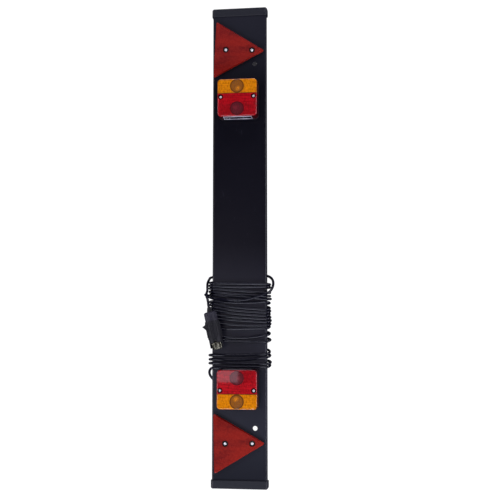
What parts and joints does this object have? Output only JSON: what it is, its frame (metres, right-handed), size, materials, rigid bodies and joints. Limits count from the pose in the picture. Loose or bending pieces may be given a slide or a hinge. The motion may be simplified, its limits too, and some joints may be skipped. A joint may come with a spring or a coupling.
{
  "type": "trailer lighting board",
  "caption": "Long black lighting board with square red and amber rear lamps, red reflector triangles, and its lead wound round it to a pin plug.",
  "frame": {"origin": "middle of the board in plan, on the plane that the wound lead rests on with the board on its back", "axes": "+X across the board towards its upper edge in use, +Y along the board towards its left end in use, +Z out of its face"},
  "size_m": [0.1782, 1.226, 0.0745],
  "materials": {
    "board_plastic": "black extruded plastic, slightly satin",
    "cap_plastic": "dark grey moulded plastic, a little paler than the board",
    "backing_plastic": "black moulded plastic",
    "reflector_red": "clear red plastic over moulded prisms",
    "base_plastic": "black moulded plastic",
    "foam_seal": "dark grey closed cell foam",
    "lens_red": "clear red lens plastic, ribbed inside",
    "lens_amber": "clear amber lens plastic, ribbed inside",
    "lens_clear": "clear plastic",
    "holder_metal": "bright plated pressed steel",
    "amber_bulb": "amber glass on a plated cap",
    "clear_bulb": "clear glass on a plated cap",
    "terminal_plastic": "pale tan moulded plastic",
    "plated_screw": "bright plated",
    "zinc_nut": "zinc plated",
    "black_rubber": "black rubber",
    "cable_sheath": "black flexible sheath with a slight sheen",
    "clip_plastic": "off-white nylon",
    "collar_plastic": "dark grey moulded plastic",
    "plug_plastic": "black moulded plastic, satin",
    "insert_plastic": "black moulded plastic",
    "pin_brass": "bright brass"
  },
  "bodies": {
    "root": {"board": "board_plastic", "left_end_cap": "cap_plastic", "right_end_cap": "cap_plastic", "left_reflector_backing": "backing_plastic", "left_reflector_lens": "reflector_red", "right_reflector_backing": "backing_plastic", "right_reflector_lens": "reflector_red", "reflector_screws": "plated_screw", "reflector_nuts": "zinc_nut", "left_lamp_base": "base_plastic", "left_lens_seal": "foam_seal", "left_red_lens": "lens_red", "left_amber_lens": "lens_amber", "left_plate_window": "lens_clear", "left_bulb_holders": "holder_metal", "left_indicator_bulb": "amber_bulb", "left_stop_tail_bulb": "clear_bulb", "left_terminal_block": "terminal_plastic", "right_lamp_base": "base_plastic", "right_lens_seal": "foam_seal", "right_red_lens": "lens_red", "right_amber_lens": "lens_amber", "right_plate_window": "lens_clear", "right_bulb_holders": "holder_metal", "right_indicator_bulb": "amber_bulb", "right_stop_tail_bulb": "clear_bulb", "right_terminal_block": "terminal_plastic", "lens_screws": "plated_screw", "lamp_bolts": "zinc_nut", "lamp_nuts": "zinc_nut", "link_grommets": "black_rubber", "supply_grommet": "black_rubber", "link_cable": "cable_sheath", "link_clips": "clip_plastic", "supply_cable": "cable_sheath", "cord_clamp": "base_plastic", "clamp_screws": "zinc_nut", "cord_entry": "cable_sheath", "small_winding": "cable_sheath", "cord_bridge": "cable_sheath", "large_winding": "cable_sheath", "cord_tail": "cable_sheath", "plug_boot": "black_rubber", "plug_collar": "collar_plastic", "plug_shell": "plug_plastic", "plug_insert": "insert_plastic", "plug_pins": "pin_brass"}
  },
  "joints": []
}
